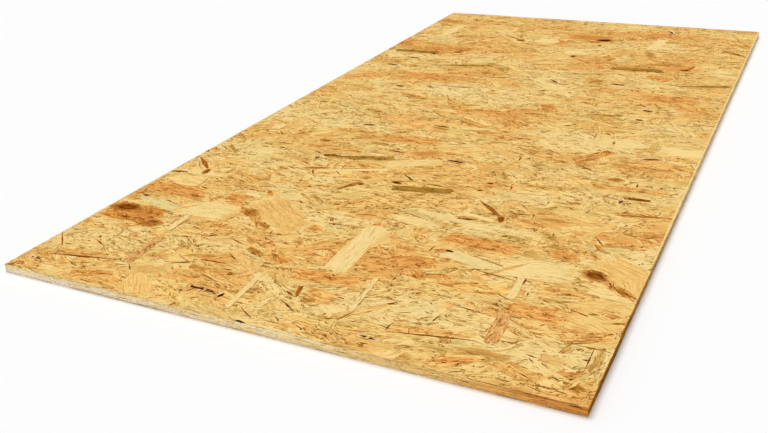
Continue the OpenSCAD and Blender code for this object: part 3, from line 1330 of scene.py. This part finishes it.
# The knots of the upper face: middle, length, width, turn, heart and rim
KNOTS = (
    (-34, -542, 30, 16, -8, Tone.DARK, Tone.BROWN),
    (-562, -898, 96, 48, 8, Tone.UMBER, Tone.RUST),
    (-450, -948, 60, 38, 20, Tone.BROWN, Tone.RUST),
    (-270, -819, 66, 44, -20, Tone.BROWN, Tone.TAN),
    (518, -819, 66, 44, -20, Tone.UMBER, Tone.TAN),
    (-110, -582, 22, 15, 30, Tone.UMBER, Tone.TAN),
    (-520, -648, 44, 22, -80, Tone.UMBER, Tone.TAN),
    (268, -646, 44, 22, -80, Tone.UMBER, Tone.TAN),
    (-342, -344, 44, 26, 0, Tone.BROWN, Tone.TAN),
    (446, -344, 44, 26, 0, Tone.BROWN, Tone.TAN),
    (178, -468, 24, 13, 5, Tone.DARK, Tone.TAN),
    (170, -516, 18, 12, 0, Tone.UMBER, Tone.TAN),
    (108, 936, 72, 48, 15, Tone.DARK, Tone.RUST),
    (-186, 852, 42, 30, 0, Tone.UMBER, Tone.TAN),
    (-424, 578, 36, 18, -10, Tone.DARK, Tone.TAN),
    (362, 582, 36, 18, -10, Tone.DARK, Tone.TAN),
    (58, 688, 24, 40, 0, Tone.UMBER, Tone.TAN),
    (-346, 624, 44, 28, 10, Tone.UMBER, Tone.TAN),
    (442, 628, 44, 28, 10, Tone.UMBER, Tone.TAN),
    (106, 860, 18, 24, 0, Tone.UMBER, Tone.TAN),
    (408, 98, 28, 16, 0, Tone.DARK, Tone.TAN),
    (-566, -826, 22, 10, -8, Tone.DARK, Tone.OLIVE),
    (222, -826, 22, 10, -8, Tone.DARK, Tone.OLIVE),
)

# The chips that part or lengthen voids of the upper face: middle, length, width, turn and tone. The dark
# ones that lengthen voids are painted void shade
BRIDGES = (
    (-172, -1147, 34, 8, 6, Tone.VOID_SHADE), (-180, -1146, 16, 5, -10, Tone.DARK),
    (-111, -1153, 17, 9, 70, Tone.VOID_SHADE), (-112, -1153, 9, 5, 70, Tone.DARK),
    (-153, -1148, 7, 14, 10, Tone.PINK), (-126, -1149, 11, 13, -14, Tone.PINK),
    (-574, -1170.5, 8, 14, 12, Tone.HONEY), (214, -1176, 8, 13, -16, Tone.HONEY),
)

# The tones of the small dark pieces
MARK_TONES = (Tone.UMBER, Tone.BROWN, Tone.OLIVE, Tone.RUST)


@dataclass(frozen=True)
class Sizes:
    """How long and wide strands are: the usual size, its spread as a logarithm, the least and the most."""

    long: tuple[float, float, float, float]
    wide: tuple[float, float, float, float]


@dataclass
class PressedFace:
    """One pressed face of the sheet: strands of all sizes, mostly across its width."""

    mat: StrandMat
    seed: int
    bays: int
    strands: int = 4800
    chips: int = 2400
    slivers: int = 4800
    strand_sizes: Sizes = Sizes((98, 0.34, 35, 210), (23, 0.5, 6, 66))
    chip_sizes: Sizes = Sizes((38, 0.4, 14, 80), (9, 0.4, 3.5, 26))
    sliver_sizes: Sizes = Sizes((30, 0.5, 8, 110), (2.4, 0.35, 1.2, 10))
    spread: float = 24.0
    stray: float = 0.13
    crisp_share: float = 0.3
    warm_share: float = 0.05
    warm_spread: float = 0.18
    most_figure: float = 0.8
    course_long: float = 90.0
    course_wide: float = 20.0
    course_seed: int = 70
    shaded: float = 0.18
    shades: tuple[float, float] = (0.1, 0.32)
    shaded_crisp: float = 0.4
    marked_chips: float = 0.08
    marked_slivers: float = 0.22
    marked_wide: float = 5.4
    # The crevices below are painted shadow: dark slivers in the gaps beside strands
    strand_crevices: float = 0.25
    chip_crevices: float = 0.2
    end_crevices: float = 0.35
    darkest_crevices: float = 0.1
    crevice_wide: tuple[float, float] = (2.6, 5.2)
    void_rim: float = 1.8
    void_boards: tuple[float, float] = (9.0, 16.0)
    void_board_pitch: float = 11.0
    arris_from: float = -720.0
    arris_wide: float = 4.6

    def __post_init__(self) -> None:
        """Starts the face's own irregular numbers."""
        self.draw = np.random.default_rng(self.seed)

    def turn(self) -> float:
        """Draws the turn of a strand: near the width for most, any for the strays."""
        if self.draw.random() < self.stray:
            return self.draw.uniform(-90, 90)
        return self.draw.normal(0, self.spread)

    def size(self, middle: float, spread: float, low: float, high: float) -> float:
        """Draws a size whose logarithm is spread evenly about a middle.

        Args:
            middle: The usual size.
            spread: How far the sizes spread, as a logarithm.
            low: The smallest size.
            high: The largest size.

        Returns:
            The size in millimetres.
        """
        return float(np.clip(middle * math.exp(self.draw.normal(0, spread)), low, high))

    def spot(self) -> tuple[float, float]:
        """Draws a place on the face."""
        return (self.draw.uniform(-1, 1) * self.mat.half_long, self.draw.uniform(-1, 1) * self.mat.half_wide)

    def crispness(self) -> float:
        """Draws how crisp a strand's outline is: soft for most."""
        is_crisp = self.draw.random() < self.crisp_share
        return self.draw.uniform(0.6, 1) if is_crisp else self.draw.uniform(0.1, 0.5)

    def warmth(self) -> float:
        """Draws how much warmer a strand is than its place, which is far more for a few."""
        warmth = self.draw.normal(0, self.warm_spread)
        return warmth + self.draw.uniform(0.3, 0.8) if self.draw.random() < self.warm_share else warmth

    def wear(self) -> tuple[float, float]:
        """Draws how crisp a strand is, and how much darker than its place: a lot for a few, soft ones."""
        shade = self.draw.uniform(*self.shades) if self.draw.random() < self.shaded else 0.0
        return self.crispness() * (self.shaded_crisp if shade else 1), shade

    def mark_tone(self, share: float) -> Tone | None:
        """Draws a dark tone for a share of the small pieces, and none for the others."""
        if self.draw.random() > share:
            return None
        return MARK_TONES[self.draw.integers(len(MARK_TONES))]

    def random_strand(self) -> Strand:
        """Draws a full strand.

        Returns:
            The strand.
        """
        x, y = self.spot()
        cut = Cut(self.draw.choice(["plank", "plank", "wedge"]))
        long = self.size(*self.strand_sizes.long)
        wide = min(self.size(*self.strand_sizes.wide), long * 0.6)
        figure = self.draw.uniform(0, self.most_figure)
        crisp, shade = self.wear()
        return Strand(x, y, long, wide, self.turn(), None, cut, figure, crisp, self.warmth(), shade)

    def random_chip(self) -> Strand:
        """Draws a short broken strand, now and then a dark one.

        Returns:
            The strand.
        """
        x, y = self.spot()
        cut = Cut(self.draw.choice(["chip", "wedge"]))
        tone = self.mark_tone(self.marked_chips)
        long = self.size(*self.chip_sizes.long)
        wide = self.size(*self.chip_sizes.wide) * (1 if tone is None else 0.6)
        figure = self.draw.uniform(0, self.most_figure)
        crisp, shade = self.wear()
        return Strand(x, y, long, wide, self.turn(), tone, cut, figure, crisp, self.warmth(), shade)

    def random_sliver(self) -> Strand:
        """Draws a thin sliver, now and then a wider dark one.

        Returns:
            The sliver.
        """
        x, y = self.spot()
        tone = self.mark_tone(self.marked_slivers)
        long = self.size(*self.sliver_sizes.long) * (1 if tone is None else 0.8)
        usual, *limits = self.sliver_sizes.wide
        wide = self.size(usual if tone is None else self.marked_wide, *limits)
        warmth = self.draw.normal(-0.1, 0.35)
        return Strand(x, y, long, wide, self.turn(), tone, Cut.SLIVER, 0.2, 0.75, warmth)

    def crevice_shadow(self, strand: Strand) -> Strand:
        """Works out the dark sliver of painted shadow in the crevice beside a strand, partly under it.

        Args:
            strand: The strand.

        Returns:
            The painted crevice shadow, as a dark sliver.
        """
        turn = math.radians(strand.turn)
        long = strand.long * self.draw.uniform(0.2, 0.7)
        along = self.draw.uniform(-0.5, 0.5) * (strand.long - long)
        across = self.draw.choice([-0.5, 0.5]) * strand.wide
        turned = strand.turn
        if self.draw.random() < self.end_crevices:
            long = strand.wide * self.draw.uniform(0.4, 1.0)
            along = self.draw.choice([-0.47, 0.47]) * strand.long
            across = self.draw.uniform(-0.3, 0.3) * (strand.wide - long)
            turned += 90
        x = strand.x + along * math.cos(turn) - across * math.sin(turn)
        y = strand.y + along * math.sin(turn) + across * math.cos(turn)
        tone = Tone.DARK if self.draw.random() < self.darkest_crevices else Tone.UMBER
        wide = self.draw.uniform(*self.crevice_wide)
        return Strand(x, y, long, wide, turned + self.draw.normal(0, 3), tone, Cut.SLIVER, 0.2, 0.9)

    def lay_with_crevice_shadow(self, strand: Strand, chance: float, **how: object) -> None:
        """Lays a strand, now and then with the painted crevice shadow beside it first.

        Args:
            strand: The strand.
            chance: How often it has a painted crevice shadow.
            **how: What the mat's own lay takes.
        """
        if self.draw.random() < chance:
            self.mat.lay(self.crevice_shadow(strand), 0.5)
        self.mat.lay(strand, **how)

    def frame_void(self, void: tuple[float, float, float, float, float]) -> None:
        """Lays strands close along both sides and ends of a void, with a dark sliver of painted shade at its
        rim.

        Args:
            void: The void's middle, length, width and turn.
        """
        x, y, long, wide, turn = void
        angle = math.radians(turn)
        across = np.array([-math.sin(angle), math.cos(angle)])
        along = np.array([math.cos(angle), math.sin(angle)])
        for side in (-1, 1):
            # painted shade: a dark UMBER sliver along each side of the void
            stain_and_rim_shade = np.array([x, y]) + across * side * (wide / 2 + self.void_rim)
            self.mat.lay(Strand(*stain_and_rim_shade, long * 0.8, 3, turn, Tone.UMBER, Cut.SLIVER, crisp=0.5), keep=True)
            for row in range(3):
                board = self.draw.uniform(*self.void_boards)
                reach = wide / 2 + self.void_rim + row * self.void_board_pitch + board / 2
                at = np.array([x, y]) + across * side * reach + along * self.draw.uniform(-8, 8)
                long_board = long * self.draw.uniform(1.2, 1.7)
                self.mat.lay(Strand(*at, long_board, board, turn + self.draw.normal(0, 1.0), crisp=0.8))
            board = wide + self.draw.uniform(8, 14)
            at = np.array([x, y]) + along * side * (long / 2 + 24)
            self.mat.lay(Strand(*at, 44, board, turn))

    def lay_first_course(self) -> None:
        """Lays lapped strands side by side and end to end, so that no wood behind them is bare."""
        draw = np.random.default_rng(self.seed + self.course_seed)
        long, wide = self.course_long * 1.6, self.course_wide * 1.5
        for row in range(math.ceil(2 * self.mat.half_wide / self.course_wide)):
            for column in range(math.ceil(2 * self.mat.half_long / self.course_long) + 1):
                step = column + draw.uniform(-0.2, 0.2) - row % 2 / 2
                x = step * self.course_long - self.mat.half_long
                y = (row + 0.5) * self.course_wide - self.mat.half_wide
                turn, figure, warmth = draw.normal(0, 3), draw.uniform(0, 0.6), draw.normal(0.1, 0.15)
                strand = Strand(x, y, long, wide, turn, None, Cut.PLANK, figure, 0.2, warmth)
                self.mat.bed(strand, 0.2 + 0.8 * (row % 2) + 0.4 * (column % 2))

    def lay_key_strands(self) -> None:
        """Lays the strands and knots that stand out, over all that lies there."""
        twins = [(row[0] + TWIN_STEP, *row[1:]) for row in TWIN_STRANDS]
        for row in (*TWIN_STRANDS, *twins, *KEY_STRANDS):
            strand = Strand(*row)
            # crisp key strands first get a painted crevice shadow beside them
            if strand.crisp > 0.45 and strand.cut is not Cut.SLIVER:
                self.mat.lay(self.crevice_shadow(strand), 0.5, force=True)
            self.mat.lay(strand, keep=True, force=True)
        for x, y, long, wide, turn, heart, rim in KNOTS:
            knot = Strand(x, y, long, wide, turn, rim, Cut.KNOT, 0.8, 0.5, heart=heart)
            self.mat.lay(knot, 0.6, keep=True, force=True)

    def lay_arris_highlight(self) -> None:
        """Lays pale slivers along the right arris: a painted highlight at the edge of the upper face."""
        x = self.mat.half_long - self.arris_wide / 2
        y = self.arris_from
        while y < self.mat.half_wide:
            long = self.draw.uniform(50, 120)
            # painted highlight: bright slivers along the arris
            sliver = Strand(x, y + long / 2, long + 6, self.arris_wide, 90, Tone.ARRIS_HIGHLIGHT, Cut.PLANK, 0, 0.5,
                            shade=self.draw.uniform(-0.05, 0.1))
            self.mat.lay(sliver, 0.3, keep=True, force=True)
            y += long

    def bridge_voids(self) -> None:
        """Lays the small chips that part a void into spots, and the dark chips that lengthen it as painted
        void shade.
        """
        for x, y, long, wide, turn, tone in BRIDGES:
            chip = Strand(x, y, long, wide, turn, tone, Cut.CHIP, 0.4, 0.6)
            self.mat.lay(chip, 0.3, keep=True, force=True, bridge=True)

    def lay(self, key_strands: bool) -> None:
        """Lays the whole mat.

        Args:
            key_strands: Whether the strands and knots that stand out are laid too.
        """
        self.lay_first_course()
        for void in self.mat.openings.voids(self.mat.side):
            self.frame_void(void)
        for _ in range(self.strands):
            self.lay_with_crevice_shadow(self.random_strand(), self.strand_crevices)
        for _ in range(self.chips // 2):
            self.lay_with_crevice_shadow(self.random_chip(), self.chip_crevices)
        if key_strands:
            self.lay_key_strands()
            self.lay_arris_highlight()
            self.bridge_voids()
        for _ in range(self.chips // 2):
            self.lay_with_crevice_shadow(self.random_chip(), self.chip_crevices, spare=0.2)
        for _ in range(self.slivers):
            self.mat.lay(self.random_sliver(), 0.6, spare=0.5)

    def build(self, builder: MatBuilder, finish: bpy.types.Material) -> None:
        """Joins the strands into pieces, from the near end to the far end."""
        build_bays(self.mat, builder, finish, "strands", "y", self.bays)


@dataclass
class SawnEdge:
    """One sawn edge of the sheet: the thin slices that the saw left of each strand."""

    mat: StrandMat
    seed: int
    bays: int
    slices: int
    outer_long: float
    core_long: float
    thick: float = 0.75
    dark_share: float = 0.1
    plank_share: float = 0.4

    def lay(self) -> None:
        """Lays the slices in gently waving layers, longer or shorter in the core of the sheet."""
        draw = np.random.default_rng(self.seed)
        for _ in range(self.slices):
            x = draw.uniform(-1, 1) * self.mat.half_long
            y = draw.uniform(-1, 1) * (self.mat.half_wide - 0.3)
            usual = self.core_long if abs(y) < 0.5 * self.mat.half_wide else self.outer_long
            long = float(np.clip(usual * math.exp(draw.normal(0, 0.5)), 6, 200))
            wide = float(np.clip(self.thick * math.exp(draw.normal(0, 0.3)), 0.35, 1.6))
            turn = draw.normal(0, 25 / long)
            warmth = draw.normal(0, 0.09)
            if draw.random() < self.dark_share:
                long, wide, warmth = long * 0.5, wide * 0.7, 0.5
            cut = Cut.PLANK if draw.random() < self.plank_share else Cut.SLIVER
            self.mat.lay(Strand(x, y, long, wide, turn, None, cut, 0.4, 0.3, warmth))

    def build(self, builder: MatBuilder, finish: bpy.types.Material) -> None:
        """Joins the slices into pieces along the edge."""
        build_bays(self.mat, builder, finish, "slices", "x", self.bays)


@dataclass
class InnerWood:
    """The wood behind the outer strands, with the CAD sheet's own voids and gaps."""

    node: bpy.types.Object
    face_inset: float = 0.85
    edge_inset: float = 0.45
    rind: float = 0.2
    merge: float = 1e-6
    bays: int = 4

    def build(self, finish: bpy.types.Material) -> None:
        """Copies the CAD sheet, draws it in behind the strands and cuts it into bays.

        Args:
            finish: The material.
        """
        low, high = CAD_BOX
        middle, size = (low + high) / 2, high - low
        inset = Vector((self.edge_inset, self.edge_inset, self.face_inset)) * MM
        shrink = [1 - 2 * inset[axis] / size[axis] for axis in range(3)]
        for index in range(self.bays):
            piece = bpy.data.objects.new(f"inner_wood_{index + 1}", self.node.data.copy())
            bpy.context.scene.collection.objects.link(piece)
            take(piece)
            bpy.ops.object.mode_set(mode="EDIT")
            bpy.ops.mesh.select_mode(type="VERT")
            bpy.ops.mesh.select_all(action="SELECT")
            bpy.ops.mesh.remove_doubles(threshold=self.merge)
            bpy.ops.transform.resize(value=shrink, center_override=middle)
            for step, sign in ((index, -1), (index + 1, 1)):
                if 0 < step < self.bays:
                    cut = Vector((0, low.y + size.y * step / self.bays, 0))
                    bpy.ops.mesh.select_all(action="SELECT")
                    bpy.ops.mesh.bisect(plane_co=cut, plane_no=(0, sign, 0), use_fill=True,
                                        clear_outer=True)
            bpy.ops.object.mode_set(mode="OBJECT")
            self.mark_openings(piece, middle, size)
            dress(piece, finish)

    def mark_openings(self, piece: bpy.types.Object, middle: Vector, size: Vector) -> None:
        """Marks the faces that lie inside the sheet, which line its voids and gaps and get painted shade.

        Args:
            piece: The piece.
            middle: The middle of the sheet.
            size: The size of the sheet.
        """
        inset = (self.edge_inset, self.edge_inset, self.face_inset)
        limits = [size[axis] / 2 - (inset[axis] + self.rind) * MM for axis in range(3)]
        mark = piece.data.attributes.new("inside", "FLOAT", "FACE")
        for face in piece.data.polygons:
            off = face.center - middle
            mark.data[face.index].value = float(all(abs(off[axis]) < limits[axis] for axis in range(3)))


@dataclass
class Studio:
    """The camera, the lights and the pale floor."""

    eye: tuple[float, float, float] = (0.848, -2.312, 0.855)
    turn: float = 27.48
    down: float = 25.10
    roll: float = -2.66
    lens: float = 41.72
    sensor: float = 36.0
    suns: tuple[tuple[float, float, float, float], ...] = ((1.7, 40, 20, -125), (1.0, 60, 72, 20))
    sky: float = 0.4
    floor_size: float = 60.0
    floor_gap: float = 0.0003
    floor_white: float = 0.965
    floor_cloud: float = 0.01
    floor_roughness: float = 0.9

    def build(self) -> None:
        """Places everything that isn't part of the sheet."""
        self.add_camera()
        self.add_lights()
        self.add_floor()

    def add_camera(self) -> None:
        """Adds the camera where the photograph was taken from."""
        aim = (Matrix.Rotation(math.radians(self.turn), 4, "Z")
               @ Matrix.Rotation(math.radians(90 - self.down), 4, "X")
               @ Matrix.Rotation(math.radians(self.roll), 4, "Z"))
        bpy.ops.object.camera_add(location=self.eye, rotation=aim.to_euler())
        camera = bpy.context.object
        camera.data.lens = self.lens
        camera.data.sensor_width = self.sensor
        camera.data.sensor_fit = "HORIZONTAL"
        camera.data.clip_start = 0.01
        bpy.context.scene.camera = camera

    def add_lights(self) -> None:
        """Adds a high key light from the far left, a low fill light from the front and an even sky."""
        for power, angle, tilt, turn in self.suns:
            aim = (Matrix.Rotation(math.radians(turn), 4, "Z")
                   @ Matrix.Rotation(math.radians(tilt), 4, "X"))
            bpy.ops.object.light_add(type="SUN", rotation=aim.to_euler())
            sun = bpy.context.object.data
            sun.energy = power
            sun.angle = math.radians(angle)
        world = bpy.data.worlds.new("sky")
        world.use_nodes = True
        bpy.context.scene.world = world
        tree = world.node_tree
        tree.nodes.clear()
        path = tree.nodes.new("ShaderNodeLightPath")
        dim = tree.nodes.new("ShaderNodeBackground")
        dim.inputs["Strength"].default_value = self.sky
        dim.inputs["Color"].default_value = (1, 1, 1, 1)
        white = tree.nodes.new("ShaderNodeBackground")
        white.inputs["Color"].default_value = (1, 1, 1, 1)
        mix = tree.nodes.new("ShaderNodeMixShader")
        output = tree.nodes.new("ShaderNodeOutputWorld")
        tree.links.new(path.outputs["Is Camera Ray"], mix.inputs[0])
        tree.links.new(dim.outputs[0], mix.inputs[1])
        tree.links.new(white.outputs[0], mix.inputs[2])
        tree.links.new(mix.outputs[0], output.inputs[0])

    def add_floor(self) -> None:
        """Adds the pale floor that the sheet lies on."""
        sheet = NodeSheet("floor")
        cloud = sheet.noise(sheet.add("TexCoord").outputs["Object"], (0.5, 0.5, 0.5), detail=1)
        greys = (self.floor_white, self.floor_white + self.floor_cloud)
        white = sheet.mix(cloud, *((grey, grey, grey, 1) for grey in greys))
        deselect()
        bpy.ops.mesh.primitive_plane_add(size=self.floor_size, location=(0, 0, -self.floor_gap))
        floor = bpy.context.object
        floor.name = "floor"
        floor.data.materials.append(sheet.coat(white, self.floor_roughness))


# The colours along each sawn edge, as stops in millimetres from its middle; the brightest stops of the upper
# band, under the upper arris, are a painted highlight
NEAR_TONES = EdgeTones(
    ((-610, Tone.ARRIS_HIGHLIGHT), (140, Tone.ARRIS_HIGHLIGHT), (300, Tone.PALE), (430, Tone.STRAW), (530, Tone.RUST),
     (610, Tone.TOAST)),
    ((-610, Tone.MILK), (-300, Tone.CHALK), (100, Tone.SAWN), (380, Tone.PALE), (500, Tone.TAN),
     (610, Tone.RUST)),
)
RIGHT_TONES = EdgeTones(
    ((-1220, Tone.TOAST), (-950, Tone.TOAST), (-800, Tone.RUST), (-600, Tone.ARRIS_HIGHLIGHT), (1220, Tone.ARRIS_HIGHLIGHT)),
    ((-1220, Tone.TOAST), (-1000, Tone.TOAST), (-854, Tone.DUSK), (-610, Tone.DUN), (-366, Tone.WHEAT),
     (200, Tone.WHEAT), (1220, Tone.CHALK)),
)
PLAIN_TONES = EdgeTones(((0, Tone.ARRIS_HIGHLIGHT),), ((-1220, Tone.SAWN), (0, Tone.WHEAT), (1220, Tone.SAWN)))


def sawn_finish() -> StrandFinish:
    """Describes the finish of the sawn edges: paler and calmer than the pressed faces.

    Returns:
        The finish.
    """
    return StrandFinish(
        "sawn_strands",
        streaks=Grain((0.014, 0.6, 1), 0.3, 0.52, (0.88, 0.84, 0.76, 1), (1.06, 1.09, 1.13, 1)),
        fibres=Grain((0.04, 0.8, 1), 0.32, 0.56, (0.9, 0.86, 0.78, 1), (1.06, 1.09, 1.14, 1), 3, 0.7),
        mottle=Grain((0.05, 0.3, 1), 0.33, 0.56, (0.86, 0.8, 0.7, 1), (1.08, 1.11, 1.15, 1), 3, 0.7),
        outline_shade_share=0.3, rim_shade_share=0.3, soft_edge=0.3, waviness=0, brightest=(0.99, 0.92, 0.78, 1),
        bump=0.15,
    )


def build_faces(openings: Openings, cutter: StrandCutter, finish: bpy.types.Material) -> None:
    """Builds the two pressed faces.

    Args:
        openings: The sheet's voids and gaps.
        cutter: The strand shapes.
        finish: The strands' material.
    """
    upper = PressedFace(StrandMat(UPPER, openings), seed=21, bays=8)
    upper.lay(key_strands=True)
    LOG.info("upper face: %d strands", len(upper.mat.strands))
    upper.build(MatBuilder(cutter, FaceTones(WARM_PLACES)), finish)
    under = PressedFace(StrandMat(UNDER, openings), seed=22, bays=4, strands=3000, chips=1200, slivers=1600)
    under.lay(key_strands=False)
    LOG.info("underside: %d strands", len(under.mat.strands))
    under.build(MatBuilder(cutter, FaceTones(seed=4)), finish)


def build_edges(openings: Openings, cutter: StrandCutter, finish: bpy.types.Material) -> None:
    """Builds the four sawn edges.

    Args:
        openings: The sheet's voids and gaps.
        cutter: The strand shapes.
        finish: The strands' material.
    """
    edges = ((NEAR, 1, 1700, NEAR_TONES), (RIGHT, 2, 3000, RIGHT_TONES),
             (FAR, 1, 1500, PLAIN_TONES), (LEFT, 2, 2800, PLAIN_TONES))
    for seed, (side, bays, slices, tones) in enumerate(edges, 31):
        mat = StrandMat(side, openings, cell_long=4, cell_wide=0.6, relief=0.4, ceiling=9, margin=0.15)
        longs = (70, 22) if side.along[0] else (22, 70)
        edge = SawnEdge(mat, seed, bays, slices, *longs)
        edge.lay()
        edge.build(MatBuilder(cutter, tones, thickness=0.4, bevel=0.12), finish)


def main() -> None:
    """Builds the sheet's looks around the CAD frame."""
    logging.basicConfig(level=logging.INFO, format="%(name)s %(message)s")
    bpy.context.scene.view_settings.view_transform = "Standard"
    Studio().build()
    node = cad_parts["panel"]
    openings = Openings(node)
    cutter = StrandCutter()
    cutter.cut_all()
    build_faces(openings, cutter, StrandFinish().material())
    build_edges(openings, cutter, sawn_finish().material())
    InnerWood(node).build(CoreFinish().material())


if __name__ == "__main__":
    main()
